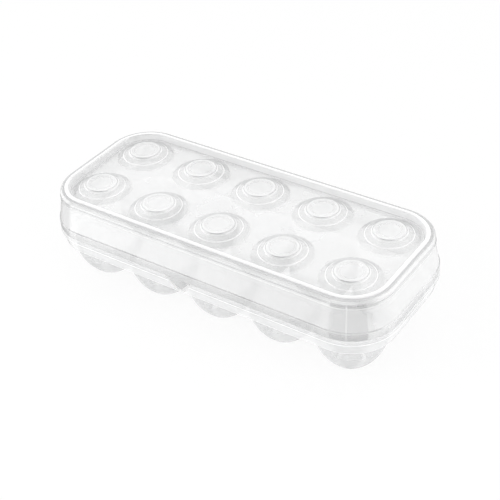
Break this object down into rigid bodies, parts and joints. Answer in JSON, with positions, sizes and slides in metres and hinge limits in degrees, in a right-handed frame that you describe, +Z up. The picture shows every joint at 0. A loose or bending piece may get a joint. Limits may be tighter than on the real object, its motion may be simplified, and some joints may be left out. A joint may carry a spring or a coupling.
{
  "type": "egg keeper with flip lid",
  "caption": "clear plastic egg box with round egg cups under a hinged lid, stepped domes in its sunken top and a thumb notch at the front",
  "frame": {"origin": "bottom centre of the box around the whole part, on the plane of the cup feet", "axes": "+X along the length, +Y towards the hinges at the back, +Z up"},
  "size_m": [0.2562, 0.1177, 0.0693],
  "materials": {
    "clear_tray": "clear, slightly hazy polypropylene",
    "clear_lid": "clear, slightly hazy polypropylene"
  },
  "bodies": {
    "tray": {"tray_band": "clear_tray", "tray_lip": "clear_tray", "egg_cup_01": "clear_tray", "egg_cup_02": "clear_tray", "egg_cup_03": "clear_tray", "egg_cup_04": "clear_tray", "egg_cup_05": "clear_tray", "egg_cup_06": "clear_tray", "egg_cup_07": "clear_tray", "egg_cup_08": "clear_tray", "egg_cup_09": "clear_tray", "egg_cup_10": "clear_tray", "hinge_lugs_left": "clear_tray", "hinge_lugs_right": "clear_tray"},
    "lid": {"lid_rim": "clear_lid", "lid_wall": "clear_lid", "lid_foot": "clear_lid", "lid_dome_01": "clear_lid", "lid_dome_02": "clear_lid", "lid_dome_03": "clear_lid", "lid_dome_04": "clear_lid", "lid_dome_05": "clear_lid", "lid_dome_06": "clear_lid", "lid_dome_07": "clear_lid", "lid_dome_08": "clear_lid", "lid_dome_09": "clear_lid", "lid_dome_10": "clear_lid", "lid_knuckle_left": "clear_lid", "lid_knuckle_right": "clear_lid"}
  },
  "joints": [
    {"name": "lid_flip", "type": "hinge", "parent": "tray", "child": "lid", "pos_m": [0, 0.05565, 0.04085], "axis": [-1, 0, 0], "range_deg": [0, 110]}
  ]
}
